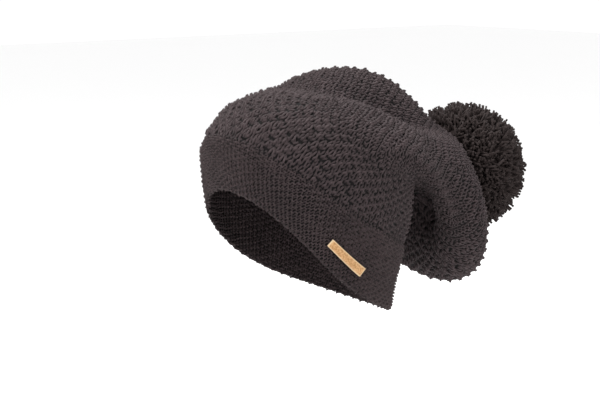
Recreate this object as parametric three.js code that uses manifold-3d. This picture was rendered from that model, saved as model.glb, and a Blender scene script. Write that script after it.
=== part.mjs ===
// Slouchy knitted bobble hat, worn form: a fine moss-stitch band round the head, a chunky knitted
// crown over it, which bends back and falls as a pouch, a pompom seated on the pouch's gathered tip,
// and a small bare leather label on the band. Millimetres, +Z up. The wearer faces -Y and the wearer's left is +X.
// The origin is the middle of the rim, where the head goes in.

import * as THREE from "three";
import { mergeVertices } from "three/addons/utils/BufferGeometryUtils.js";
import Module from "manifold-3d";

// Driving dimensions
const GAP = 0.3;                // air between pieces that meet
const BAND_END = 0.14;          // where the band ends, as a share of the way from rim to tip
const BAND_WALL = 7;            // the band's knit is doubled
const CROWN_WALL = 5;
const EAR_DIP = 21;             // the rim hangs lower over both ears
const LEFT_DROP = 7;            // and a little lower still on the wearer's left
const DIP_REACH = 0.5;          // the dip has faded out this far along the hat
const DIP_FADE = 1.5;           // power of its fading: over 1, it fades fastest near the rim
const TIP_RADIUS = 9;           // ring where the tip is gathered

const POMPOM = { x: 0, y: 212, z: 62, radius: 62, ball: 52 };
// ragged: how much a lock's length varies; sway: how far it leans from its even place, in radians
const LOCKS = { count: 72, rootRadius: 4, endRadius: 9.4, sides: 5, inner: 30, ragged: 2.5, sway: 0.12 };

// turn: how far the label is turned against the band's rows, in degrees
const LABEL = { length: 47, height: 8.5, thick: 1.8, middleAngle: 83.6, middleAlong: 0.0439, turn: -4.7 };

// Mesh fineness
const AROUND = 44;              // faces round the hat
const BAND_ROWS = 6;
const CROWN_ROWS = 34;
const FALL_ROW = 6;             // the crown's row at the top of its bend, where the pouch begins
const RIM_ROUNDING = [45, 90, 135];     // degrees round the rim's soft edge
const BALL_COLUMNS = 16;
const BALL_ROWS = 10;
const LABEL_COLUMNS = 12;

// One row for each section across the hat, from the rim to the gathered tip.
// along: share of the way; y, z: the section's middle; top and under pitch: how far its upper and
// its under half lean back, in degrees; twist: its turn round the hat's own line, in degrees.
// along, y, z, topPitch, underPitch, twist
const SECTIONS = [
  [0.00,   0,  0,  35, 35,  0],
  [0.07,  -2, 28,  33, 33,  0],
  [0.14,  -1, 54,  33, 31,  0],
  [0.22,  12, 80,  39, 31,  0],
  [0.30,  30, 97,  45, 30,  0],
  [0.38,  52, 98,  58, 42,  8],
  [0.46,  76, 92,  71, 61, 16],
  [0.55, 102, 78,  87, 74, 20],
  [0.64, 128, 68,  98, 76, 22],
  [0.74, 153, 60, 104, 72, 22],
  [0.83, 171, 57, 100, 72, 22],
  [0.92, 177, 60,  95, 85, 22],
  [1.00, 163, 62,  90, 90, 22],
];

// The same sections' reach from their middle, every 45 degrees. Left is the wearer's left, +X.
// top, topLeft, left, underLeft, under, underRight, right, topRight
const REACH = [
  [109,  99,  90, 101, 110,  99,  91, 100],
  [111, 100,  94, 106, 114, 101,  94, 101],
  [110, 100,  97, 111, 117, 104,  96, 102],
  [ 98,  96,  98, 109, 107, 100,  96,  98],
  [ 76,  87,  98,  96,  83,  89,  95,  88],
  [ 58,  77,  98,  93,  79,  89,  95,  84],
  [ 50,  71, 100, 101,  90,  92,  96,  88],
  [ 45,  70, 101, 114, 106,  94,  97,  96],
  [ 48,  68, 101, 122, 109,  94,  95,  92],
  [ 52,  66,  96, 114,  97,  86,  84,  75],
  [ 50,  58,  79,  91,  78,  69,  66,  57],
  [ 33,  37,  42,  44,  42,  40,  40,  38],
  Array(8).fill(TIP_RADIUS),
];

const MATERIALS = {
  band: new THREE.MeshStandardMaterial({ color: 0x37302f, roughness: 0.95, metalness: 0 }),
  crown: new THREE.MeshStandardMaterial({ color: 0x393233, roughness: 0.95, metalness: 0 }),
  pompom: new THREE.MeshStandardMaterial({ color: 0x231c1a, roughness: 1, metalness: 0 }),
  leather: new THREE.MeshStandardMaterial({ color: 0xd7aa7d, roughness: 0.6, metalness: 0 }),
};

const radians = THREE.MathUtils.degToRad;

// Smooth value of every column of a table at a place between its rows (cubic Hermite).
function sample(table, along) {
  const last = table.length - 1;
  let i = 0;
  while (i < last - 1 && along > SECTIONS[i + 1][0]) i += 1;
  const step = SECTIONS[i + 1][0] - SECTIONS[i][0];
  const f = (along - SECTIONS[i][0]) / step;
  const slope = (row, column) => {
    const before = Math.max(row - 1, 0);
    const after = Math.min(row + 1, last);
    return (table[after][column] - table[before][column]) / (SECTIONS[after][0] - SECTIONS[before][0]);
  };
  return table[i].map((start, column) => {
    const end = table[i + 1][column];
    const rise = f * f * (3 - 2 * f);
    const leave = f * (1 - f) * (1 - f);
    const arrive = f * f * (1 - f);
    return start + (end - start) * rise + step * (leave * slope(i, column) - arrive * slope(i + 1, column));
  });
}

// Smooth reach between the eight directions of a section, as a closed Catmull-Rom curve.
function reachAt(reach, angle) {
  const turn = THREE.MathUtils.euclideanModulo(angle / (2 * Math.PI), 1) * reach.length;
  const i = Math.floor(turn);
  const f = turn - i;
  const at = (k) => reach[THREE.MathUtils.euclideanModulo(k, reach.length)];
  const [a, b, c, d] = [at(i - 1), at(i), at(i + 1), at(i + 2)];
  return b + 0.5 * f * (c - a + f * (2 * a - 5 * b + 4 * c - d + f * (3 * (b - c) + d - a)));
}

// A point of the hat's outer surface. angle 0 is the front and top line, 90 degrees the wearer's left.
function hatPoint(angle, along) {
  const [, y, z, topPitch, underPitch, twist] = sample(SECTIONS, along);
  const reach = reachAt(sample(REACH, along), angle);
  const turned = angle + radians(twist);
  const upper = reach * Math.cos(turned);
  const pitch = radians((topPitch + underPitch + (topPitch - underPitch) * Math.cos(turned)) / 2);
  const fade = Math.max(1 - along / DIP_REACH, 0) ** DIP_FADE;
  const drop = (EAR_DIP * Math.sin(angle) ** 2 + LEFT_DROP * Math.sin(angle)) * fade;
  return new THREE.Vector3(
    reach * Math.sin(turned),
    y - upper * Math.cos(pitch) - drop * Math.sin(pitch),
    z + upper * Math.sin(pitch) - drop * Math.cos(pitch),
  );
}

// The hat's outward direction and its direction towards the tip, at a point of the outer surface.
function hatFrame(angle, along) {
  const small = 0.004;
  const ends = [Math.max(along - small, 0), Math.min(along + small, 1)];
  const towardsTip = hatPoint(angle, ends[1]).sub(hatPoint(angle, ends[0])).normalize();
  const round = hatPoint(angle + small, along).sub(hatPoint(angle - small, along)).normalize();
  const outward = new THREE.Vector3().crossVectors(round, towardsTip).normalize();
  return { outward, towardsTip };
}

// A point above the outer surface, or in the wall where height is negative.
function hatPointAt(angle, along, height) {
  return hatPoint(angle, along).addScaledVector(hatFrame(angle, along).outward, height);
}

const angleOf = (column) => (2 * Math.PI * column) / AROUND;

function ring(pointOf) {
  return Array.from({ length: AROUND }, (_, column) => pointOf(angleOf(column)));
}

// Closed surface through rings of points. Its ends are closed by a middle point, or, where the rings
// run round a wall, the last ring joins the first.
function skin(rings, endsJoin) {
  const points = rings.flat();
  const faces = [];
  const count = rings.length;
  const rows = endsJoin ? count : count - 1;
  for (let row = 0; row < rows; row += 1) {
    const here = row * AROUND;
    const next = ((row + 1) % count) * AROUND;
    for (let column = 0; column < AROUND; column += 1) {
      const beside = (column + 1) % AROUND;
      faces.push(here + column, here + beside, next + beside);
      faces.push(here + column, next + beside, next + column);
    }
  }
  if (!endsJoin) {
    [[0, true], [count - 1, false]].forEach(([row, first]) => {
      const middle = new THREE.Vector3();
      rings[row].forEach((point) => middle.add(point));
      points.push(middle.divideScalar(AROUND));
      for (let column = 0; column < AROUND; column += 1) {
        const a = row * AROUND + column;
        const b = row * AROUND + ((column + 1) % AROUND);
        faces.push(points.length - 1, first ? b : a, first ? a : b);
      }
    });
  }
  const geometry = new THREE.BufferGeometry().setFromPoints(points);
  geometry.setIndex(faces);
  return geometry;
}

// The band: its outer face, its inner face and a soft rounded rim between them.
function bandGeometry() {
  const rows = Array.from({ length: BAND_ROWS + 1 }, (_, row) => (BAND_END * row) / BAND_ROWS);
  const outer = rows.map((along) => ring((angle) => hatPoint(angle, along)));
  const inner = rows.map((along) => ring((angle) => hatPointAt(angle, along, -BAND_WALL))).reverse();
  const half = BAND_WALL / 2;
  const rim = RIM_ROUNDING.map(radians).map((lean) => ring((angle) => {
    const { outward, towardsTip } = hatFrame(angle, 0);
    return hatPoint(angle, 0)
      .addScaledVector(outward, -half * (1 + Math.cos(lean)))
      .addScaledVector(towardsTip, -half * Math.sin(lean));
  }));
  return skin([...outer, ...inner, ...rim], true);
}

// Rings of the chunky knit between two of its rows, with some air below the first.
function knitRings(height, firstRow, lastRow, air) {
  return Array.from({ length: lastRow - firstRow + 1 }, (_, index) => {
    const along = BAND_END + ((1 - BAND_END) * (firstRow + index)) / CROWN_ROWS;
    return ring((angle) => {
      const point = hatPointAt(angle, along, height);
      return index === 0 ? point.addScaledVector(hatFrame(angle, along).towardsTip, air) : point;
    });
  });
}

// The crown: a wall round the head, open towards the band and towards the pouch.
function crownGeometry() {
  const outer = knitRings(0, 0, FALL_ROW, GAP);
  const inner = knitRings(-CROWN_WALL, 0, FALL_ROW, GAP);
  return skin([...inner.reverse(), ...outer], true);
}

// The pouch: a bag of the same wall, which falls back from the crown to the gathered tip.
function pouchGeometry() {
  const outer = knitRings(0, FALL_ROW, CROWN_ROWS, GAP);
  const inner = knitRings(-CROWN_WALL, FALL_ROW, CROWN_ROWS, GAP);
  return skin([...inner.reverse(), ...outer], false);
}

let wasm;

function toSolid(geometry) {
  const bare = geometry.clone();
  bare.deleteAttribute("normal");
  bare.deleteAttribute("uv");
  const merged = mergeVertices(bare);
  return new wasm.Manifold(new wasm.Mesh({
    numProp: 3,
    vertProperties: new Float32Array(merged.attributes.position.array),
    triVerts: new Uint32Array(merged.index.array),
  }));
}

function toGeometry(solid) {
  const mesh = solid.getMesh();
  const geometry = new THREE.BufferGeometry();
  geometry.setAttribute("position", new THREE.BufferAttribute(mesh.vertProperties, 3));
  geometry.setIndex(new THREE.BufferAttribute(mesh.triVerts, 1));
  return geometry;
}

// Repeatable uneven number between -1 and 1 for a lock.
function uneven(index, salt) {
  const wave = Math.sin(index * 12.9898 + salt * 78.233) * 43758.5453;
  return 2 * (wave - Math.floor(wave)) - 1;
}

// The pompom: locks of cut yarn spread evenly over a ball and fused to it, then hollowed where it
// sits on the pouch's gathered tip.
function pompomGeometry() {
  const middle = new THREE.Vector3(POMPOM.x, POMPOM.y, POMPOM.z);
  const golden = Math.PI * (3 - Math.sqrt(5));
  let solid = toSolid(new THREE.SphereGeometry(POMPOM.ball, BALL_COLUMNS, BALL_ROWS).translate(...middle));
  for (let index = 0; index < LOCKS.count; index += 1) {
    const height = 1 - (2 * index + 1) / LOCKS.count;
    const spread = Math.sqrt(1 - height * height);
    const turn = golden * index + LOCKS.sway * uneven(index, 1);
    const direction = new THREE.Vector3(spread * Math.cos(turn), spread * Math.sin(turn), height);
    const length = POMPOM.radius + LOCKS.ragged * uneven(index, 2) - LOCKS.inner;
    const lock = new THREE.CylinderGeometry(LOCKS.endRadius, LOCKS.rootRadius, length, LOCKS.sides);
    lock.translate(0, LOCKS.inner + length / 2, 0);
    lock.rotateY(Math.PI * uneven(index, 3));
    lock.applyQuaternion(new THREE.Quaternion().setFromUnitVectors(new THREE.Vector3(0, 1, 0), direction));
    lock.translate(...middle);
    solid = solid.add(toSolid(lock));
  }
  const seat = toSolid(skin(knitRings(GAP, 0, CROWN_ROWS, 0), false));
  return toGeometry(solid.subtract(seat));
}

// The label: a leather strip that follows the band, with its two short ends cut square.
function labelGeometry() {
  const middle = radians(LABEL.middleAngle);
  const alongSpan = 0.004;
  const angleSpan = 0.02;
  const perAlong = hatPoint(middle, LABEL.middleAlong + alongSpan)
    .sub(hatPoint(middle, LABEL.middleAlong - alongSpan)).divideScalar(2 * alongSpan);
  const perAngle = hatPoint(middle + angleSpan, LABEL.middleAlong)
    .sub(hatPoint(middle - angleSpan, LABEL.middleAlong)).divideScalar(2 * angleSpan);
  const sideways = perAngle.clone().normalize();
  const upwards = new THREE.Vector3().crossVectors(perAngle, perAlong).cross(sideways).normalize();
  const turn = radians(LABEL.turn);
  const spot = (across, up, height) => {
    const side = across * Math.cos(turn) - up * Math.sin(turn);
    const rise = (across * Math.sin(turn) + up * Math.cos(turn)) / perAlong.dot(upwards);
    const round = (side - rise * perAlong.dot(sideways)) / perAngle.length();
    return hatPointAt(middle + round, LABEL.middleAlong + rise, height);
  };
  const edges = [
    { side: -1, height: GAP },
    { side: 1, height: GAP },
    { side: 1, height: GAP + LABEL.thick },
    { side: -1, height: GAP + LABEL.thick },
  ];
  const points = [];
  const faces = [];
  for (let column = 0; column <= LABEL_COLUMNS; column += 1) {
    const across = LABEL.length * (column / LABEL_COLUMNS - 0.5);
    edges.forEach(({ side, height }) => points.push(spot(across, (side * LABEL.height) / 2, height)));
  }
  for (let column = 0; column < LABEL_COLUMNS; column += 1) {
    for (let edge = 0; edge < 4; edge += 1) {
      const a = column * 4 + edge;
      const b = column * 4 + ((edge + 1) % 4);
      faces.push(a, b, b + 4);
      faces.push(a, b + 4, a + 4);
    }
  }
  const end = LABEL_COLUMNS * 4;
  faces.push(0, 2, 1, 0, 3, 2);
  faces.push(end, end + 1, end + 2, end, end + 2, end + 3);
  const geometry = new THREE.BufferGeometry().setFromPoints(points);
  geometry.setIndex(faces);
  return geometry;
}

function piece(name, geometry, material) {
  geometry.computeVertexNormals();
  const mesh = new THREE.Mesh(geometry, material);
  mesh.name = name;
  return mesh;
}

wasm = await Module();
wasm.setup();

const hat = new THREE.Group();
hat.add(piece("brim_band", bandGeometry(), MATERIALS.band));
hat.add(piece("crown", crownGeometry(), MATERIALS.crown));
hat.add(piece("pouch", pouchGeometry(), MATERIALS.crown));
hat.add(piece("pompom", pompomGeometry(), MATERIALS.pompom));
hat.add(piece("label", labelGeometry(), MATERIALS.leather));

export default hat;
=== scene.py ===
"""Slouchy knitted bobble hat in its worn form: yarn loops on the band, crown and pouch, a pompom of
cut yarn and a small bare leather label. Metres, +Z up; the wearer faces -Y, the wearer's left is +X.
"""

import math

import bmesh
import bpy
import numpy as np
from mathutils import Matrix, Vector
from mathutils.kdtree import KDTree


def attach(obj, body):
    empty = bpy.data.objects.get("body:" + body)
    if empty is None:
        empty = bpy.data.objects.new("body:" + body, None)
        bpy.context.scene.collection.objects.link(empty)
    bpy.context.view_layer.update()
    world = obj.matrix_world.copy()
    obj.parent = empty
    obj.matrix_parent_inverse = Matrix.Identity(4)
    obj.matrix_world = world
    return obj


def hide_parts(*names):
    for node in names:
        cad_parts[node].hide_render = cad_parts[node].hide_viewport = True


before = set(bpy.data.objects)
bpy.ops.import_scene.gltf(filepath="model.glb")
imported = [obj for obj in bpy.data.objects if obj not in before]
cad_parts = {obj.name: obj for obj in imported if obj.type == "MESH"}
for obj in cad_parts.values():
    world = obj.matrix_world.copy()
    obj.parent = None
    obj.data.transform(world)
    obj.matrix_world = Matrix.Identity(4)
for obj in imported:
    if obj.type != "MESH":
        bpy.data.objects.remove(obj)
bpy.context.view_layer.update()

MM = 0.001
BAND_END = 0.14             # where the band ends, as a share of the way from rim to tip
FALL = 0.2918               # where the crown's bend tops out and the pouch begins
BAND_WALL = 7.0             # in millimetres, as all lengths are until a mesh is made
KNIT_DEPTH = 3.2            # how far the middle of the chunky yarn lies under the outer surface
EAR_DIP = 21.0              # the rim hangs lower over both ears
LEFT_DROP = 7.0             # and a little lower still on the wearer's left
DIP_REACH = 0.5             # the dips fade out over this share of the way
DIP_FADE = 1.5
POMPOM_MIDDLE = np.array([0.0, 212.0, 60.0])
POMPOM_RADIUS = 62.0
CUT_EDGE = 1.5              # width of the label's paler edge
LABEL = {"length": 47.0, "height": 8.5, "thick": 1.8, "angle": 83.6, "along": 0.0439, "turn": -4.7}

# One row for each section across the hat, in millimetres and degrees:
# along, middle y, middle z, top pitch, under pitch, twist, then the reach towards the
# top, top left, left, under left, under, under right, right, top right
SECTIONS = np.array([
    [0.00,   0,  0,  35, 35,  0, 109, 99,  90, 101, 110, 99, 91, 100],
    [0.07,  -2, 28,  33, 33,  0, 111, 100, 94, 106, 114, 101, 94, 101],
    [0.14,  -1, 54,  33, 31,  0, 110, 100, 97, 111, 117, 104, 96, 102],
    [0.22,  12, 80,  39, 31,  0, 98,  96,  98, 109, 107, 100, 96, 98],
    [0.30,  30, 97,  45, 30,  0, 76,  87,  98, 96,  83,  89, 95, 88],
    [0.38,  52, 98,  58, 42,  8, 58,  77,  98, 93,  79,  89, 95, 84],
    [0.46,  76, 92,  71, 61, 16, 50,  71, 100, 101, 90,  92, 96, 88],
    [0.55, 102, 78,  87, 74, 20, 45,  70, 101, 114, 106, 94, 97, 96],
    [0.64, 128, 68,  98, 76, 22, 48,  68, 101, 122, 109, 94, 95, 92],
    [0.74, 153, 60, 104, 72, 22, 52,  66,  96, 114, 97,  86, 84, 75],
    [0.83, 171, 57, 100, 72, 22, 50,  58,  79, 91,  78,  69, 66, 57],
    [0.92, 177, 60,  95, 85, 22, 33,  37,  42, 44,  42,  40, 40, 38],
    [1.00, 163, 62,  90, 90, 22, 9,   9,   9,  9,   9,   9,  9,  9],
], float)


def section_at(along):
    """Every column of the table at places between its rows, as a smooth curve."""
    knots, values = SECTIONS[:, 0], SECTIONS[:, 1:]
    slope = np.empty_like(values)
    slope[1:-1] = (values[2:] - values[:-2]) / (knots[2:] - knots[:-2])[:, None]
    slope[0] = (values[1] - values[0]) / (knots[1] - knots[0])
    slope[-1] = (values[-1] - values[-2]) / (knots[-1] - knots[-2])
    i = np.clip(np.searchsorted(knots, along, side="right") - 1, 0, len(knots) - 2)
    step = (knots[i + 1] - knots[i])[..., None]
    f = (along - knots[i])[..., None] / step
    rise = f * f * (3 - 2 * f)
    leave = f * (1 - f) ** 2
    arrive = f * f * (1 - f)
    return values[i] * (1 - rise) + values[i + 1] * rise + step * (leave * slope[i] - arrive * slope[i + 1])


def hat_point(angle, along):
    """Points of the hat's outer surface in millimetres. Angle 0 is the front and top line."""
    angle, along = np.broadcast_arrays(np.asarray(angle, float), np.asarray(along, float))
    row = section_at(along)
    reach = row[..., 5:]
    turn = (angle / (2 * np.pi)) % 1.0 * 8
    i = np.floor(turn).astype(int)
    f = turn - i
    a, b, c, d = [np.take_along_axis(reach, ((i + k) % 8)[..., None], -1)[..., 0] for k in (-1, 0, 1, 2)]
    r = b + 0.5 * f * (c - a + f * (2 * a - 5 * b + 4 * c - d + f * (3 * (b - c) + d - a)))
    turned = angle + np.radians(row[..., 4])
    upper = r * np.cos(turned)
    pitch = np.radians((row[..., 2] + row[..., 3] + (row[..., 2] - row[..., 3]) * np.cos(turned)) / 2)
    fade = np.clip(1 - along / DIP_REACH, 0, 1) ** DIP_FADE
    drop = (EAR_DIP * np.sin(angle) ** 2 + LEFT_DROP * np.sin(angle)) * fade
    return np.stack([
        r * np.sin(turned),
        row[..., 0] - upper * np.cos(pitch) - drop * np.sin(pitch),
        row[..., 1] + upper * np.sin(pitch) - drop * np.cos(pitch),
    ], -1)


def unit(vectors):
    """The same directions, each of length one."""
    return vectors / (np.linalg.norm(vectors, axis=-1, keepdims=True) + 1e-12)


CLOSE_BY = 0.004            # how far the points lie that give the hat's directions: radians and share


def hat_frame(angle, along):
    """The hat's outward direction and its direction towards the tip."""
    ahead = hat_point(angle, np.minimum(along + CLOSE_BY, 1))
    behind = hat_point(angle, np.maximum(along - CLOSE_BY, 0))
    tipwards = unit(ahead - behind)
    around = unit(hat_point(angle + CLOSE_BY, along) - hat_point(angle - CLOSE_BY, along))
    return unit(np.cross(around, tipwards)), tipwards


LENGTH_STEPS = 240
LENGTH_ANGLES = 48


def mean_length(start, end):
    """Mean distance along the hat from one share of the way to each of many others."""
    steps = np.linspace(start, end, LENGTH_STEPS)
    angles = np.linspace(0, 2 * np.pi, LENGTH_ANGLES, endpoint=False)
    grid = hat_point(angles[None, :], steps[:, None])
    walked = np.linalg.norm(np.diff(grid, axis=0), axis=-1).mean(1)
    return steps, np.concatenate([[0.0], np.cumsum(walked)])


CROWN_STEPS, CROWN_WALKED = mean_length(BAND_END, 1.0)
BAND_STEPS, BAND_WALKED = mean_length(0.0, BAND_END)
CROWN_LENGTH = CROWN_WALKED[-1]
BAND_LENGTH = BAND_WALKED[-1]
LAYER = 1.75                # from the middle of the band's wall to the middle of each of its two layers
RIM_TURN = math.pi * LAYER  # length of the turn round the rim


# Soft hollows and swells of the slack knit:
# degrees round, share of the way, spread in degrees, spread in share, height in millimetres
SLACK = [
    (138, 0.425,  9, 0.042, -17),       # the dark pocket where the pouch tucks in behind the ear
    (114, 0.420, 10, 0.050,   4),       # the roll of knit beside it
    (348, 0.760, 20, 0.060,  -4),       # the far side drops away towards the pompom
    (336, 0.385, 13, 0.040,  -5),       # the slack between the brow and the far lobe
    (154, 0.545, 12, 0.040,  -5),       # the underside beside the pocket
    (130, 0.650, 10, 0.040,   3),       # the pouch's lowest corner
    (60,  0.560, 22, 0.040,  -2),
    (205, 0.620, 20, 0.050,  -3),
    (262, 0.500, 16, 0.060,  -4),
    (300, 0.600, 15, 0.050,   3),
]


def slack(angle, along):
    """How far the slack knit stands over or under its even form."""
    total = 0
    for round_at, along_at, round_spread, along_spread, height in SLACK:
        turn = (np.degrees(angle) - round_at + 180) % 360 - 180
        apart = (turn / round_spread) ** 2 + ((along - along_at) / along_spread) ** 2
        total = total + height * np.exp(-0.5 * apart)
    return total


TRACK_ANGLES = 180
TRACK_STEPS = 150
SOLVER_ROUNDS = 900
SOLVED = 1e-7               # the field is settled when no point of the grid is further out than this
LEAST_PULL = 0.02           # keeps the field steady where the grid is very slanted


def cotangent(corner, one, other):
    """Cotangent of the angle at a triangle's corner."""
    first, second = one - corner, other - corner
    return (first * second).sum(-1) / np.linalg.norm(np.cross(first, second), axis=-1)


def smooth_field(grid):
    """A field over the hat, 0 at the band and 1 at the tip, that is as smooth as heat spread over it."""
    here, beside = grid, np.roll(grid, -1, 1)
    a, b, c, d = here[:-1], beside[:-1], beside[1:], here[1:]
    round_pull = np.zeros(grid.shape[:2])
    round_pull[:-1] += cotangent(c, a, b)
    round_pull[1:] += cotangent(a, c, d)
    tip_pull = cotangent(c, a, d) + np.roll(cotangent(a, b, c), 1, 1)
    cross_pull = cotangent(b, a, c) + cotangent(d, a, c)
    round_pull, tip_pull = np.maximum(round_pull, LEAST_PULL), np.maximum(tip_pull, LEAST_PULL)
    cross_pull = np.maximum(cross_pull, 0)

    def pulled(field):
        out = round_pull * (field - np.roll(field, -1, 1))
        out = out - np.roll(out, 1, 1)
        for pull, above in ((tip_pull, 0), (cross_pull, -1)):
            step = pull * (field[:-1] - np.roll(field[1:], above, 1))
            out[:-1] += step
            out[1:] -= np.roll(step, -above, 1)
        return out

    weight = round_pull + np.roll(round_pull, 1, 1)
    weight[:-1] += tip_pull + cross_pull
    weight[1:] += tip_pull + np.roll(cross_pull, 1, 1)
    free = np.zeros(weight.shape)
    free[1:-1] = 1
    field = np.repeat(np.linspace(0, 1, len(grid))[:, None], grid.shape[1], 1)
    left_over = -pulled(field) * free
    way = left_over / weight
    size = (left_over * way).sum()
    for _ in range(SOLVER_ROUNDS):
        push = pulled(way) * free
        step = size / (way * push).sum()
        field += step * way
        left_over -= step * push
        if abs(left_over).max() < SOLVED:
            break
        new_size = (left_over * left_over / weight).sum()
        way = left_over / weight + new_size / size * way
        size = new_size
    return field


def even_tracks():
    """For each direction round the hat, the share of the way at evenly spaced levels of the smooth field,
    so that rows of stitches stay apart on the bend's short side and beside the pocket."""
    angles = np.linspace(0, 2 * np.pi, TRACK_ANGLES, endpoint=False)
    steps = np.linspace(BAND_END, 1.0, TRACK_STEPS)
    field = smooth_field(hat_point(angles[None, :], steps[:, None]))
    walked = np.interp(steps, CROWN_STEPS, CROWN_WALKED) / CROWN_LENGTH
    level = np.interp(field, field.mean(1), walked)
    even = np.linspace(0, 1, TRACK_STEPS)
    return np.stack([np.interp(even, level[:, k], steps) for k in range(TRACK_ANGLES)], 1)


TRACKS = even_tracks()


def crown_along(angle, walked):
    """The share of the way at a distance from the band, read between the even tracks."""
    column = (np.asarray(angle) / (2 * np.pi)) % 1.0 * TRACK_ANGLES
    row = np.clip(walked / CROWN_LENGTH, 0, 1) * (TRACK_STEPS - 1)
    left = np.floor(column).astype(int)
    low = np.minimum(np.floor(row).astype(int), TRACK_STEPS - 2)
    right_share, high_share = column - left, row - low
    left, right = left % TRACK_ANGLES, (left + 1) % TRACK_ANGLES
    near = TRACKS[low, left] * (1 - right_share) + TRACKS[low, right] * right_share
    far = TRACKS[low + 1, left] * (1 - right_share) + TRACKS[low + 1, right] * right_share
    return near * (1 - high_share) + far * high_share


def crown_form(angle, walked):
    """The middle of the crown's and the pouch's yarn, with its soft hollows and swells."""
    along = crown_along(angle, walked)
    outward, _ = hat_frame(angle, along)
    return hat_point(angle, along) + outward * (slack(angle, along) - KNIT_DEPTH)[..., None]


TURN_STEP = 0.012           # how far round and how far along the points lie that give the knit's directions
WALK_STEP = 1.2


def on_crown(angle, walked, height):
    """A point of the crown's or pouch's knit, by its distance from the band and height over mid-yarn."""
    around = crown_form(angle + TURN_STEP, walked) - crown_form(angle - TURN_STEP, walked)
    tipwards = crown_form(angle, walked + WALK_STEP) - crown_form(angle, walked - WALK_STEP)
    return crown_form(angle, walked) + unit(np.cross(around, tipwards)) * height[..., None]


def on_band(angle, walked, height):
    """A point of the band's doubled knit: down its outside, round the rim and up its inside."""
    down = np.clip(BAND_LENGTH - walked, 0, BAND_LENGTH)
    up = np.clip(walked - BAND_LENGTH - RIM_TURN, 0, BAND_LENGTH)
    along = np.interp(down + up, BAND_WALKED, BAND_STEPS)
    lean = np.pi * np.clip((walked - BAND_LENGTH) / RIM_TURN, 0, 1)
    outward, tipwards = hat_frame(angle, along)
    reach = LAYER + height
    return (hat_point(angle, along) + outward * (reach * np.cos(lean) - BAND_WALL / 2)[..., None]
            - tipwards * (reach * np.sin(lean))[..., None])


def new_mesh(name, points, faces, uv=None, raised=None):
    """A smooth mesh object from points in millimetres and faces that all have as many sides."""
    mesh = bpy.data.meshes.new(name)
    sides = faces.shape[1]
    mesh.vertices.add(len(points))
    mesh.vertices.foreach_set("co", (points * MM).astype(np.float32).ravel())
    mesh.loops.add(faces.size)
    mesh.loops.foreach_set("vertex_index", faces.astype(np.int32).ravel())
    mesh.polygons.add(len(faces))
    mesh.polygons.foreach_set("loop_start", np.arange(0, faces.size, sides, dtype=np.int32))
    mesh.polygons.foreach_set("use_smooth", np.ones(len(faces), bool))
    mesh.update(calc_edges=True)
    mesh.validate()
    if uv is not None:
        layer = mesh.uv_layers.new(name="yarn")
        layer.data.foreach_set("uv", uv.astype(np.float32).reshape(-1))
    if raised is not None:
        height = mesh.attributes.new("raised", "FLOAT", "POINT")
        height.data.foreach_set("value", raised.astype(np.float32))
    piece = bpy.data.objects.new(name, mesh)
    bpy.context.scene.collection.objects.link(piece)
    return piece


def wrapped_faces(rows, columns):
    """Four-sided faces over a grid of points that closes on itself both ways."""
    row = np.arange(rows)[:, None]
    column = np.arange(columns)[None, :]
    after, beside = (row + 1) % rows, (column + 1) % columns
    return np.stack([row * columns + column, row * columns + beside, after * columns + beside,
                     after * columns + column], -1).reshape(-1, 4)


STITCH_STEPS = 8            # points along the yarn of one stitch
YARN_SIDES = 4
RING = np.linspace(0, 2 * np.pi, 361)

# Height of the yarn over the middle of the knit, in radii of the yarn, at the legs and heads of its loops
PLAIN_LEG, PLAIN_HEAD = 0.15, -1.30
PURL_LEG, PURL_HEAD = -0.90, 1.15
# How much thinner or thicker the yarn is there
LEG_THINNER, PLAIN_THINNER, PURL_THICKER = 0.12, 0.12, 0.30
LOOP_REACH = 0.70           # how far a loop reaches from the middle of its row, in rows
ROW_SWAY = 0.16             # height of each of the two waves that a row wanders in, in rows
# How uneven hand knitting is: size of the loops, height in radii of the yarn, place in stitches
UNEVEN_EASE, UNEVEN_LIFT, UNEVEN_SLIDE = 0.12, 0.32, 0.09
# The yarn flattens where rows crowd and fills out where they spread, within these shares
LEAST_ROOM, MOST_ROOM = 0.70, 1.12

# The chunky knit of crown and pouch, and the band's fine knit. Row height and yarn, which is the yarn's
# radius, are in millimetres, relief is a share of the heights above, and wide is how far a loop's legs
# spread, in stitches
CHUNKY = {"row_height": 5.3, "yarn": 1.36, "relief": 0.98, "wide": 0.055}
FINE = {"row_height": 2.75, "yarn": 0.92, "relief": 1.1, "wide": 0.05}
CROWN_STITCHES = 102
BAND_STITCHES = 128
LEAST_STITCH = 4.6          # where the knit is gathered, stitches are dropped to keep this width
FEWEST_STITCHES = 16


def even_turn(place, walked, share):
    """Directions round the hat that lie at given shares of the length of a row."""
    ring = place(RING, np.full(RING.shape, walked), np.zeros(RING.shape))
    passed = np.concatenate([[0.0], np.cumsum(np.linalg.norm(np.diff(ring, axis=0), axis=-1))])
    return np.interp(share * passed[-1], passed, RING)


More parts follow.
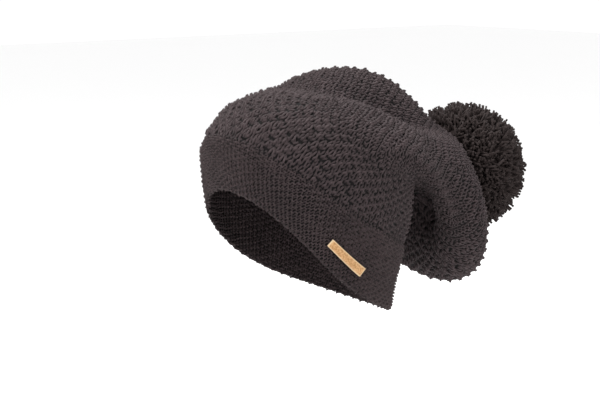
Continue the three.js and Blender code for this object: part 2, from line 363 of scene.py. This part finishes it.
def moss_rows(place, rows, stitch_count, seed, row_height, yarn, relief, wide):
    """Rows of moss stitch as real yarn: each row is one closed tube whose loops reach into the next row,
    plain and purl by turns. rows holds each row's number and its distance along the knit."""
    rng = np.random.default_rng(seed)
    spin = 2 * np.pi * (np.arange(YARN_SIDES) + 0.5) / YARN_SIDES
    points, faces, uvs, raised = [], [], [], []
    offset = 0
    for number, walked in rows:
        count = stitch_count(walked)
        t = np.tile(np.arange(STITCH_STEPS) * 2 * np.pi / STITCH_STEPS, count)
        stitch = np.repeat(np.arange(count), STITCH_STEPS)
        plain = ((stitch + number) % 2 == 0)
        ease = 1 + UNEVEN_EASE * rng.standard_normal(count)[stitch].clip(-2, 2)
        lift = UNEVEN_LIFT * yarn * rng.standard_normal(count)[stitch].clip(-2, 2)
        slide = UNEVEN_SLIDE * rng.standard_normal(count)[stitch]

        # Each loop's place along the row, its reach into the next and its height
        open_end = 1 - np.cos(t / 2) ** 8
        leg = (1 - np.cos(2 * t)) / 2
        head = (1 + np.cos(2 * t)) / 2
        at_leg, at_head = np.where(plain, PLAIN_LEG, PURL_LEG), np.where(plain, PLAIN_HEAD, PURL_HEAD)
        height = yarn * open_end * (at_leg * leg + at_head * head * ease)
        height = relief * height + lift * open_end
        across = stitch + t / (2 * np.pi) + wide * np.sin(2 * t) + slide * open_end
        angle = even_turn(place, walked, across % count / count)
        wave = np.sin(5 * angle + 0.31 * number) + np.sin(11 * angle - 0.53 * number + 1.7)
        swayed = walked + ROW_SWAY * row_height * wave
        rise = -LOOP_REACH * row_height * np.cos(t) * ease

        # Loops stand square to their row, and low where the rows are close
        level = np.zeros(angle.shape)
        round_way = place(angle + TURN_STEP, swayed, level) - place(angle - TURN_STEP, swayed, level)
        tip_way = place(angle, swayed + WALK_STEP, level) - place(angle, swayed - WALK_STEP, level)
        round_way, tip_way = round_way / (2 * TURN_STEP), tip_way / (2 * WALK_STEP)
        lean = (round_way * tip_way).sum(-1) / (round_way * round_way).sum(-1)
        room = np.linalg.norm(tip_way - round_way * lean[:, None], axis=-1).clip(LEAST_ROOM, MOST_ROOM)
        height = height * room
        angle = angle - rise * lean
        along = swayed + rise
        flat = place(angle, along, level)
        outward = unit(place(angle, along, np.ones(angle.shape)) - flat)
        middle = flat + outward * height[:, None]

        # The yarn round that middle line
        ahead = unit(np.roll(middle, -1, 0) - np.roll(middle, 1, 0))
        sideways = unit(np.cross(ahead, outward))
        upright = unit(np.cross(sideways, ahead))
        width = np.linalg.norm(np.roll(middle, -1, 0) - np.roll(middle, 1, 0), axis=-1)
        squeeze = min(1.0, np.median(width) / (0.55 * yarn + 0.6))
        swell = 1 - LEG_THINNER * leg + np.where(plain, -PLAIN_THINNER, PURL_THICKER) * head * open_end
        thick = (yarn * room * squeeze * swell)[:, None, None]
        tube = (middle[:, None] + thick * (np.cos(spin)[None, :, None] * upright[:, None]
                + np.sin(spin)[None, :, None] * sideways[:, None]))
        run, side = np.broadcast_arrays(np.arange(len(middle))[:, None] * (np.median(width) / 2),
                                        np.arange(YARN_SIDES)[None, :])
        next_run = run + width.mean() / 2
        u = np.stack([run, run, next_run, next_run], -1)
        v = np.stack([side, side + 1, side + 1, side], -1) / YARN_SIDES
        # Each point's height in the knit, kept for the material's painted shade on low yarn and painted
        # light on raised loops
        rises = height[:, None] + thick[:, 0] * np.cos(spin)[None, :]
        points.append(tube.reshape(-1, 3))
        faces.append(wrapped_faces(len(middle), YARN_SIDES) + offset)
        uvs.append(np.stack([u, v], -1).reshape(-1, 2))
        raised.append(np.clip(0.5 + rises / (4.4 * yarn), 0, 1).ravel())
        offset += tube.shape[0] * YARN_SIDES
    return np.concatenate(points), np.concatenate(faces), np.concatenate(uvs), np.concatenate(raised)


def crown_count(walked):
    """Stitches round the knit: even all the way, and fewer where it is gathered to the tip."""
    along = np.interp(walked, CROWN_WALKED, CROWN_STEPS)
    ring = hat_point(np.linspace(0, 2 * np.pi, 97), along)
    girth = np.linalg.norm(np.diff(ring, axis=0), axis=-1).sum()
    return min(CROWN_STITCHES, max(FEWEST_STITCHES, 2 * int(round(girth / LEAST_STITCH / 2))))


def band_count(walked):
    """Stitches round the band, the same in every row."""
    return BAND_STITCHES


def knit_piece(name, place, rows, count, knit, seed, material):
    """One piece of knitting from its rows."""
    piece = new_mesh(name, *moss_rows(place, rows, count, seed, **knit))
    piece.data.materials.append(material)
    return piece


def yarn_material(name, colour, light, sheen, scale):
    """Black wool yarn: a twist along each strand, loose fibres over it, painted shade on yarn that lies low
    in the knit and painted light on raised loops where a piece stores their height, and a soft dusty sheen.
    """
    material = bpy.data.materials.new(name)
    material.use_nodes = True
    nodes, links = material.node_tree.nodes, material.node_tree.links
    shader = nodes["Principled BSDF"]
    shader.inputs["Roughness"].default_value = 0.82
    shader.inputs["Specular IOR Level"].default_value = 0.13
    shader.inputs["Sheen Weight"].default_value = sheen
    shader.inputs["Sheen Roughness"].default_value = 0.45
    shader.inputs["Sheen Tint"].default_value = (0.80, 0.70, 0.70, 1)
    place = nodes.new("ShaderNodeTexCoord")
    twist = nodes.new("ShaderNodeTexWave")
    twist.wave_type = "BANDS"
    twist.bands_direction = "DIAGONAL"
    twist.inputs["Scale"].default_value = 0.55
    twist.inputs["Distortion"].default_value = 1.2
    fibre = nodes.new("ShaderNodeTexNoise")
    fibre.inputs["Scale"].default_value = scale
    fibre.inputs["Detail"].default_value = 4
    patch = nodes.new("ShaderNodeTexNoise")
    patch.inputs["Scale"].default_value = 34
    patch.inputs["Detail"].default_value = 2
    links.new(place.outputs["UV"], twist.inputs["Vector"])
    links.new(place.outputs["Object"], fibre.inputs["Vector"])
    links.new(place.outputs["Object"], patch.inputs["Vector"])
    both = nodes.new("ShaderNodeMath")
    both.operation = "MULTIPLY"
    links.new(fibre.outputs["Fac"], both.inputs[0])
    links.new(patch.outputs["Fac"], both.inputs[1])
    # Painted shade and light: the colour runs from dark on yarn low in the knit to paler on raised loops, by
    # each point's raised height, with random fibre tone added
    raised = nodes.new("ShaderNodeAttribute")
    raised.attribute_name = "raised"
    shade_and_fibres = nodes.new("ShaderNodeMath")
    shade_and_fibres.operation = "MULTIPLY_ADD"
    shade_and_fibres.inputs[1].default_value = 0.9
    links.new(raised.outputs["Fac"], shade_and_fibres.inputs[0])
    links.new(both.outputs[0], shade_and_fibres.inputs[2])
    tone = nodes.new("ShaderNodeValToRGB")
    tone.color_ramp.elements[0].position = 0.35
    tone.color_ramp.elements[0].color = (*colour, 1)
    tone.color_ramp.elements[1].position = 1.05
    tone.color_ramp.elements[1].color = (*light, 1)
    links.new(shade_and_fibres.outputs[0], tone.inputs["Fac"])
    links.new(tone.outputs["Color"], shader.inputs["Base Color"])
    relief = nodes.new("ShaderNodeMath")
    relief.operation = "ADD"
    links.new(twist.outputs["Fac"], relief.inputs[0])
    links.new(fibre.outputs["Fac"], relief.inputs[1])
    bump = nodes.new("ShaderNodeBump")
    bump.inputs["Strength"].default_value = 0.5
    bump.inputs["Distance"].default_value = 0.0004
    links.new(relief.outputs[0], bump.inputs["Height"])
    links.new(bump.outputs["Normal"], shader.inputs["Normal"])
    return material


# The darkest end of the yarn colour: black yarn with painted shade where it lies low in the knit
DARK_YARN_WITH_PAINTED_SHADE = (0.003, 0.0022, 0.0024)
BAND_MATERIAL = yarn_material("band_yarn", DARK_YARN_WITH_PAINTED_SHADE, (0.0315, 0.0222, 0.0230), sheen=0.04, scale=2600)
CROWN_MATERIAL = yarn_material("crown_yarn", DARK_YARN_WITH_PAINTED_SHADE, (0.0310, 0.0222, 0.0232), sheen=0.04, scale=2200)
POMPOM_MATERIAL = yarn_material("pompom_cut_yarn", (0.015, 0.0102, 0.0096), (0.027, 0.0185, 0.0175),
                                sheen=0.02, scale=2400)
# Near-black painted shade for the sheets and ring inside the knit, darker than the yarn itself
CORE_SHADE_MATERIAL = yarn_material("shadowed_yarn", (0.0015, 0.0011, 0.0011), (0.004, 0.003, 0.003),
                              sheen=0.0, scale=2200)


def row_list(start, end, height):
    """The number and place of each row of stitches between two distances along the knit."""
    count = int(round((end - start) / height))
    step = (end - start) / count
    return [(k, start + (k + 0.5) * step) for k in range(count)]


# The crown's and the pouch's chunky knit
GATHERED = 2.0              # the last stretch before the tip, which is drawn in
POUCH_NAMES = ["pouch_knit_upper", "pouch_knit_middle", "pouch_knit_lower"]
FALL_WALKED = float(np.interp(FALL, CROWN_STEPS, CROWN_WALKED))
all_rows = row_list(0.0, CROWN_LENGTH - GATHERED, CHUNKY["row_height"])
crown_rows = [row for row in all_rows if row[1] < FALL_WALKED]
pouch_rows = [row for row in all_rows if row[1] >= FALL_WALKED]
share = len(pouch_rows) // len(POUCH_NAMES) + 1
crown_knit = knit_piece("crown_knit", on_crown, crown_rows, crown_count, CHUNKY, 11, CROWN_MATERIAL)
pouch_knits = [
    knit_piece(name, on_crown, pouch_rows[k * share:(k + 1) * share], crown_count, CHUNKY, 20 + k,
               CROWN_MATERIAL)
    for k, name in enumerate(POUCH_NAMES)
]

# The band's fine knit, doubled over at the rim
BAND_TURNED = BAND_LENGTH + RIM_TURN
band_rows = row_list(0.0, 2 * BAND_LENGTH + RIM_TURN, FINE["row_height"])
outer_rows = [row for row in band_rows if row[1] < BAND_TURNED]
inner_rows = [row for row in band_rows if row[1] >= BAND_TURNED]
band_knit = knit_piece("band_knit", on_band, outer_rows, band_count, FINE, 31, BAND_MATERIAL)
band_lining = knit_piece("band_knit_inside", on_band, inner_rows, band_count, FINE, 32, BAND_MATERIAL)

CORE_COLUMNS = 112
CORE_END = 0.5              # how far a core stays back from the border of band and crown
OTHER_WAY_ROUND = [0, 3, 2, 1]


def core_piece(name, place, start, end, rows, thick, depth, walks_down):
    """A thin closed sheet inside the knit, near black as painted shade, which stops light between the loops.
    Where place walks down the outside, the faces are taken the other way round, so that they point outwards."""
    walked = np.linspace(start, end, rows)[:, None]
    angle = np.linspace(0, 2 * np.pi, CORE_COLUMNS, endpoint=False)[None, :]
    angle, walked = np.broadcast_arrays(angle, walked)
    sheet = [place(angle, walked, np.full(angle.shape, h - depth)) for h in (thick / 2, -thick / 2)]
    grid = np.concatenate([sheet[0], sheet[1][::-1]])
    faces = wrapped_faces(len(grid), CORE_COLUMNS)
    if walks_down:
        faces = faces[:, OTHER_WAY_ROUND]
    piece = new_mesh(name, grid.reshape(-1, 3), faces)
    piece.data.materials.append(CORE_SHADE_MATERIAL)
    return piece


crown_core = core_piece("crown_core", on_crown, CORE_END, CROWN_LENGTH - 1.0, rows=90, thick=0.9, depth=0.7,
                        walks_down=False)
band_core = core_piece("band_core", on_band, CORE_END, 2 * BAND_LENGTH + RIM_TURN - CORE_END, rows=50,
                       thick=0.6, depth=0.8, walks_down=True)

BORDER_DEPTH = 3.3
BORDER_RADIUS = 1.4
BORDER_SIDES = 8


def border_ring(name):
    """A ring inside the wall, near black as painted shade, which closes the slit between the band's core and
    the crown's.
    """
    angle = np.linspace(0, 2 * np.pi, CORE_COLUMNS, endpoint=False)
    outward, tipwards = hat_frame(angle, BAND_END)
    middle = hat_point(angle, BAND_END) - outward * BORDER_DEPTH
    spin = (2 * np.pi * np.arange(BORDER_SIDES) / BORDER_SIDES)[:, None, None]
    tube = middle + BORDER_RADIUS * (np.cos(spin) * outward + np.sin(spin) * tipwards)
    piece = new_mesh(name, tube.reshape(-1, 3), wrapped_faces(BORDER_SIDES, CORE_COLUMNS))
    piece.data.materials.append(CORE_SHADE_MATERIAL)
    return piece


border_core = border_ring("border_core")

# The pompom: cut yarn, thick and ragged, round a dark heart
STRANDS = 6400
STRAND_STEPS = 4
STRAND_SIDES = 4
STRAND_ROOT = 0.55          # where the strands start, as a share of the pompom's radius
STRAND_CUT, UNEVEN_CUT = 0.985, 0.055
STRAND_THICK = (0.80, 1.18)
STRAND_SWELL = np.array([0.85, 1.0, 1.05, 1.16])    # the yarn opens towards its cut end
STRAND_CURL = 2.6
TUFTS = 260                 # strands cling together in this many tufts
TUFT_CLING = (0.2, 0.75)
STRAND_STRAY = 0.11
SKIN_ROOM = 0.6             # strands stay clear of a skin this far over the pouch
SKIN_CLEAR = 1.2
TRIM = 3.0                  # those that would reach into it are cut shorter, in steps of this length
SHORTEST_STRAND = 4
HEART = 0.86                # radius of the pompom's dark heart, as a share of the pompom's
HEART_BACK = 3              # and how far it lies away from the pouch


def pompom_strands(seed):
    """Points and faces of the pompom's cut yarn, each strand a closed tube."""
    rng = np.random.default_rng(seed)
    index = np.arange(STRANDS)
    high = 1 - (2 * index + 1) / STRANDS
    turn = index * math.pi * (3 - math.sqrt(5))
    flat = np.sqrt(1 - high ** 2)
    out = np.stack([flat * np.cos(turn), flat * np.sin(turn), high], -1)
    tufts = unit(rng.standard_normal((TUFTS, 3)))
    nearest = tufts[np.argmax(out @ tufts.T, axis=1)]
    out = unit(out + 0.02 * rng.standard_normal(out.shape))
    lean = (nearest - out) * rng.uniform(*TUFT_CLING, (STRANDS, 1))
    lean = lean + STRAND_STRAY * rng.standard_normal(out.shape)
    curl = STRAND_CURL * rng.standard_normal(out.shape)
    ends = POMPOM_RADIUS * (STRAND_CUT + UNEVEN_CUT * rng.standard_normal(STRANDS).clip(-2.2, 1.5))
    thick = rng.uniform(*STRAND_THICK, STRANDS)

    angle, along = np.meshgrid(np.linspace(0, 2 * np.pi, 180, endpoint=False), np.linspace(0.7, 1, 90))
    outward, _ = hat_frame(angle, along)
    skin = (hat_point(angle, along) + outward * SKIN_ROOM).reshape(-1, 3)
    outward = outward.reshape(-1, 3)
    tree = KDTree(len(skin))
    for k, point in enumerate(skin):
        tree.insert(point, k)
    tree.balance()

    def clear(point):
        _, k, _ = tree.find(point)
        return float((point - skin[k]) @ outward[k]) > SKIN_CLEAR

    share = np.linspace(0, 1, STRAND_STEPS)
    spin = 2 * np.pi * np.arange(STRAND_SIDES) / STRAND_SIDES
    points, quads, caps = [], [], []
    start = STRAND_ROOT * POMPOM_RADIUS
    shortest = start + SHORTEST_STRAND
    for k in range(STRANDS):
        reach = ends[k]
        towards_hat = out[k][1] < 0.1
        if towards_hat:
            while reach > shortest and not clear(POMPOM_MIDDLE + unit(out[k] + lean[k]) * reach):
                reach -= TRIM
            if reach <= shortest:
                continue
        radius = start + (reach - start) * share
        path = POMPOM_MIDDLE + unit(out[k] + lean[k] * (share ** 1.6)[:, None]) * radius[:, None]
        path = path + curl[k] * np.sin(3.4 * share)[:, None]
        ahead = unit(np.gradient(path, axis=0))
        sideways = unit(np.cross(ahead, np.array([0.31, 0.42, 0.85])))
        upright = np.cross(sideways, ahead)
        swell = thick[k] * STRAND_SWELL
        ring = path[:, None] + swell[:, None, None] * (np.cos(spin)[None, :, None] * sideways[:, None]
                                                       + np.sin(spin)[None, :, None] * upright[:, None])
        base = len(points) * STRAND_STEPS * STRAND_SIDES
        points.append(ring.reshape(-1, 3))
        for step in range(STRAND_STEPS - 1):
            for side in range(STRAND_SIDES):
                a = base + step * STRAND_SIDES + side
                b = base + step * STRAND_SIDES + (side + 1) % STRAND_SIDES
                quads.append((a, a + STRAND_SIDES, b + STRAND_SIDES, b))
        top = base + (STRAND_STEPS - 1) * STRAND_SIDES
        caps.append((top, top + 3, top + 2, top + 1))
        caps.append((base + 3, base, base + 1, base + 2))
    return np.concatenate(points), np.array(quads + caps)


pompom = new_mesh("pompom_yarn", *pompom_strands(7))
pompom.data.materials.append(POMPOM_MATERIAL)

bpy.ops.object.select_all(action="DESELECT")
bpy.ops.mesh.primitive_ico_sphere_add(subdivisions=4, radius=HEART * POMPOM_RADIUS * MM,
                                      location=(POMPOM_MIDDLE + [0, HEART_BACK, 0]) * MM)
pompom_heart = bpy.context.object
pompom_heart.name = "pompom_heart"
bpy.ops.object.transform_apply(location=True, rotation=True, scale=True)
bpy.ops.object.shade_smooth()
pompom_heart.data.materials.append(POMPOM_MATERIAL)


def leather_material():
    """Smooth natural leather: faint grain and cloudy tone, paler where it is cut."""
    material = bpy.data.materials.new("label_leather")
    material.use_nodes = True
    nodes, links = material.node_tree.nodes, material.node_tree.links
    shader = nodes["Principled BSDF"]
    shader.inputs["Roughness"].default_value = 0.5
    shader.inputs["Specular IOR Level"].default_value = 0.15
    place = nodes.new("ShaderNodeTexCoord")
    cloud = nodes.new("ShaderNodeTexNoise")
    cloud.inputs["Scale"].default_value = 620
    cloud.inputs["Detail"].default_value = 5
    grain = nodes.new("ShaderNodeTexVoronoi")
    grain.inputs["Scale"].default_value = 1500
    edge = nodes.new("ShaderNodeAttribute")
    edge.attribute_name = "cut_edge"
    tone = nodes.new("ShaderNodeValToRGB")
    tone.color_ramp.elements[0].position = 0.42
    tone.color_ramp.elements[0].color = (0.205, 0.104, 0.038, 1)
    tone.color_ramp.elements[1].position = 0.60
    tone.color_ramp.elements[1].color = (0.315, 0.186, 0.086, 1)
    pale = nodes.new("ShaderNodeMix")
    pale.data_type = "RGBA"
    pale.inputs["B"].default_value = (0.365, 0.280, 0.175, 1)
    links.new(place.outputs["Object"], cloud.inputs["Vector"])
    links.new(place.outputs["Object"], grain.inputs["Vector"])
    links.new(cloud.outputs["Fac"], tone.inputs["Fac"])
    links.new(tone.outputs["Color"], pale.inputs["A"])
    links.new(edge.outputs["Fac"], pale.inputs["Factor"])
    links.new(pale.outputs["Result"], shader.inputs["Base Color"])
    bump = nodes.new("ShaderNodeBump")
    bump.inputs["Strength"].default_value = 0.35
    bump.inputs["Distance"].default_value = 0.0002
    links.new(grain.outputs["Distance"], bump.inputs["Height"])
    links.new(bump.outputs["Normal"], shader.inputs["Normal"])
    return material


LABEL_TURN_STEP = 0.02      # how far the points lie that give the band's directions at the label, in radians


def label_spot(across, up, height):
    """A point over the band by millimetres along and across the label, from its middle."""
    angle, along, turn = math.radians(LABEL["angle"]), LABEL["along"], math.radians(LABEL["turn"])
    beside = hat_point(angle + LABEL_TURN_STEP, along) - hat_point(angle - LABEL_TURN_STEP, along)
    above = hat_point(angle, along + CLOSE_BY) - hat_point(angle, along - CLOSE_BY)
    per_angle, per_along = beside / (2 * LABEL_TURN_STEP), above / (2 * CLOSE_BY)
    sideways = unit(per_angle)
    upwards = unit(np.cross(np.cross(per_angle, per_along), sideways))
    side = across * math.cos(turn) - up * math.sin(turn)
    rise = (across * math.sin(turn) + up * math.cos(turn)) / (per_along @ upwards)
    spot_angle = angle + (side - rise * (per_along @ sideways)) / np.linalg.norm(per_angle)
    spot_along = along + rise
    outward, _ = hat_frame(spot_angle, spot_along)
    return hat_point(spot_angle, spot_along) + outward * np.asarray(height)[..., None]


# The label: a flat strip with rounded corners and a soft edge, then bent to the band
CORNER_ROUND = 1.1
EDGE_ROUND = 0.35
STRIPS = 26                 # the strip is cut across into this many, so that it can bend
LABEL_GAP = 0.3

bpy.ops.object.select_all(action="DESELECT")
bpy.ops.mesh.primitive_cube_add(size=1)
label = bpy.context.object
label.name = "label"
label.scale = (LABEL["length"] * MM, LABEL["height"] * MM, LABEL["thick"] * MM)
bpy.ops.object.transform_apply(location=True, rotation=True, scale=True)
bpy.ops.object.mode_set(mode="EDIT")
shape = bmesh.from_edit_mesh(label.data)
for corner in shape.edges:
    corner.select_set(abs(corner.verts[0].co.z - corner.verts[1].co.z) > MM)
shape.select_flush_mode()
bmesh.update_edit_mesh(label.data)
bpy.ops.mesh.bevel(offset=CORNER_ROUND * MM, segments=4)
for cut in range(1, STRIPS):
    bpy.ops.mesh.select_all(action="SELECT")
    bpy.ops.mesh.bisect(plane_co=((cut / STRIPS - 0.5) * LABEL["length"] * MM, 0, 0), plane_no=(1, 0, 0))
for inset in (CUT_EDGE / 2, CUT_EDGE):
    for side in (-1, 1):
        bpy.ops.mesh.select_all(action="SELECT")
        bpy.ops.mesh.bisect(plane_co=(0, side * (LABEL["height"] / 2 - inset) * MM, 0), plane_no=(0, 1, 0))
bpy.ops.object.mode_set(mode="OBJECT")
soften = label.modifiers.new("soft_edge", "BEVEL")
soften.width = EDGE_ROUND * MM
soften.segments = 2
soften.angle_limit = math.radians(50)
bpy.ops.object.modifier_apply(modifier=soften.name)
flat = np.empty(len(label.data.vertices) * 3)
label.data.vertices.foreach_get("co", flat)
flat = flat.reshape(-1, 3) / MM
from_edge = np.minimum(LABEL["length"] / 2 - abs(flat[:, 0]), LABEL["height"] / 2 - abs(flat[:, 1]))
cut_edge = label.data.attributes.new("cut_edge", "FLOAT", "POINT")
cut_edge.data.foreach_set("value", np.clip(1 - from_edge / CUT_EDGE, 0, 1).astype(np.float32))
bent = label_spot(flat[:, 0], flat[:, 1], flat[:, 2] + LABEL["thick"] / 2 + LABEL_GAP)
label.data.vertices.foreach_set("co", (bent * MM).ravel())
label.data.update()
bpy.ops.object.mode_set(mode="EDIT")
bpy.ops.mesh.select_all(action="SELECT")
bpy.ops.mesh.normals_make_consistent(inside=False)
bpy.ops.object.mode_set(mode="OBJECT")
bpy.ops.object.shade_smooth_by_angle(angle=math.radians(40))
label.data.materials.append(leather_material())

for piece in [crown_knit, *pouch_knits, band_knit, band_lining, crown_core, band_core, border_core, pompom,
              pompom_heart, label]:
    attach(piece, "root")
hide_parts("crown")
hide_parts("pouch")
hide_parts("brim_band")
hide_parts("pompom")
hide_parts("label")

# Studio: pale floor, soft lights, and the camera at the photo's angle
AZIMUTH, ELEVATION = math.radians(50), math.radians(8)
CAMERA_AWAY = 1.9
FRAMED_UP, FRAMED_RIGHT = 0.0448, -0.00095      # from the origin to the middle of the photo's frame
LENS = 119.7
FLOOR_SIZE, FLOOR_DOWN = 14, 0.30
HAT_MIDDLE = Vector((0, 0.09, 0.05))
back = Vector((math.sin(AZIMUTH) * math.cos(ELEVATION), -math.cos(AZIMUTH) * math.cos(ELEVATION),
               math.sin(ELEVATION)))
right = Vector((math.cos(AZIMUTH), math.sin(AZIMUTH), 0))
up = back.cross(right)

bpy.ops.object.select_all(action="DESELECT")
bpy.ops.mesh.primitive_plane_add(size=FLOOR_SIZE, location=(0, 0, -FLOOR_DOWN))
floor = bpy.context.object
floor.name = "floor"
floor_paint = bpy.data.materials.new("pale_floor")
floor_paint.use_nodes = True
floor_shader = floor_paint.node_tree.nodes["Principled BSDF"]
floor_shader.inputs["Base Color"].default_value = (0.92, 0.92, 0.92, 1)
floor_shader.inputs["Roughness"].default_value = 0.9
floor.data.materials.append(floor_paint)

world = bpy.data.worlds.new("studio")
world.use_nodes = True
daylight = world.node_tree.nodes["Background"]
daylight.inputs["Color"].default_value = (1, 1, 1, 1)
daylight.inputs["Strength"].default_value = 1.04
bpy.context.scene.world = world


def soft_light(name, place, size, power):
    """A square soft light that faces the hat."""
    lamp = bpy.data.lights.new(name, "AREA")
    lamp.size = size
    lamp.energy = power
    light = bpy.data.objects.new(name, lamp)
    light.location = place
    light.rotation_euler = (HAT_MIDDLE - place).to_track_quat("-Z", "Y").to_euler()
    bpy.context.scene.collection.objects.link(light)


soft_light("key", 1.1 * back - 1.0 * right + 1.3 * up, 0.45, 52)
soft_light("fill", 1.4 * back + 1.2 * right + 0.5 * up, 0.9, 24)
soft_light("top", -0.3 * back + 1.7 * up, 0.6, 34)

bpy.context.scene.view_settings.view_transform = "Standard"
lens = bpy.data.cameras.new("camera")
lens.lens = LENS
lens.sensor_width = 36
camera = bpy.data.objects.new("camera", lens)
stand = CAMERA_AWAY * back + FRAMED_UP * up + FRAMED_RIGHT * right
camera.matrix_world = Matrix.Translation(stand) @ Matrix((right, up, back)).transposed().to_4x4()
bpy.context.scene.collection.objects.link(camera)
bpy.context.scene.camera = camera
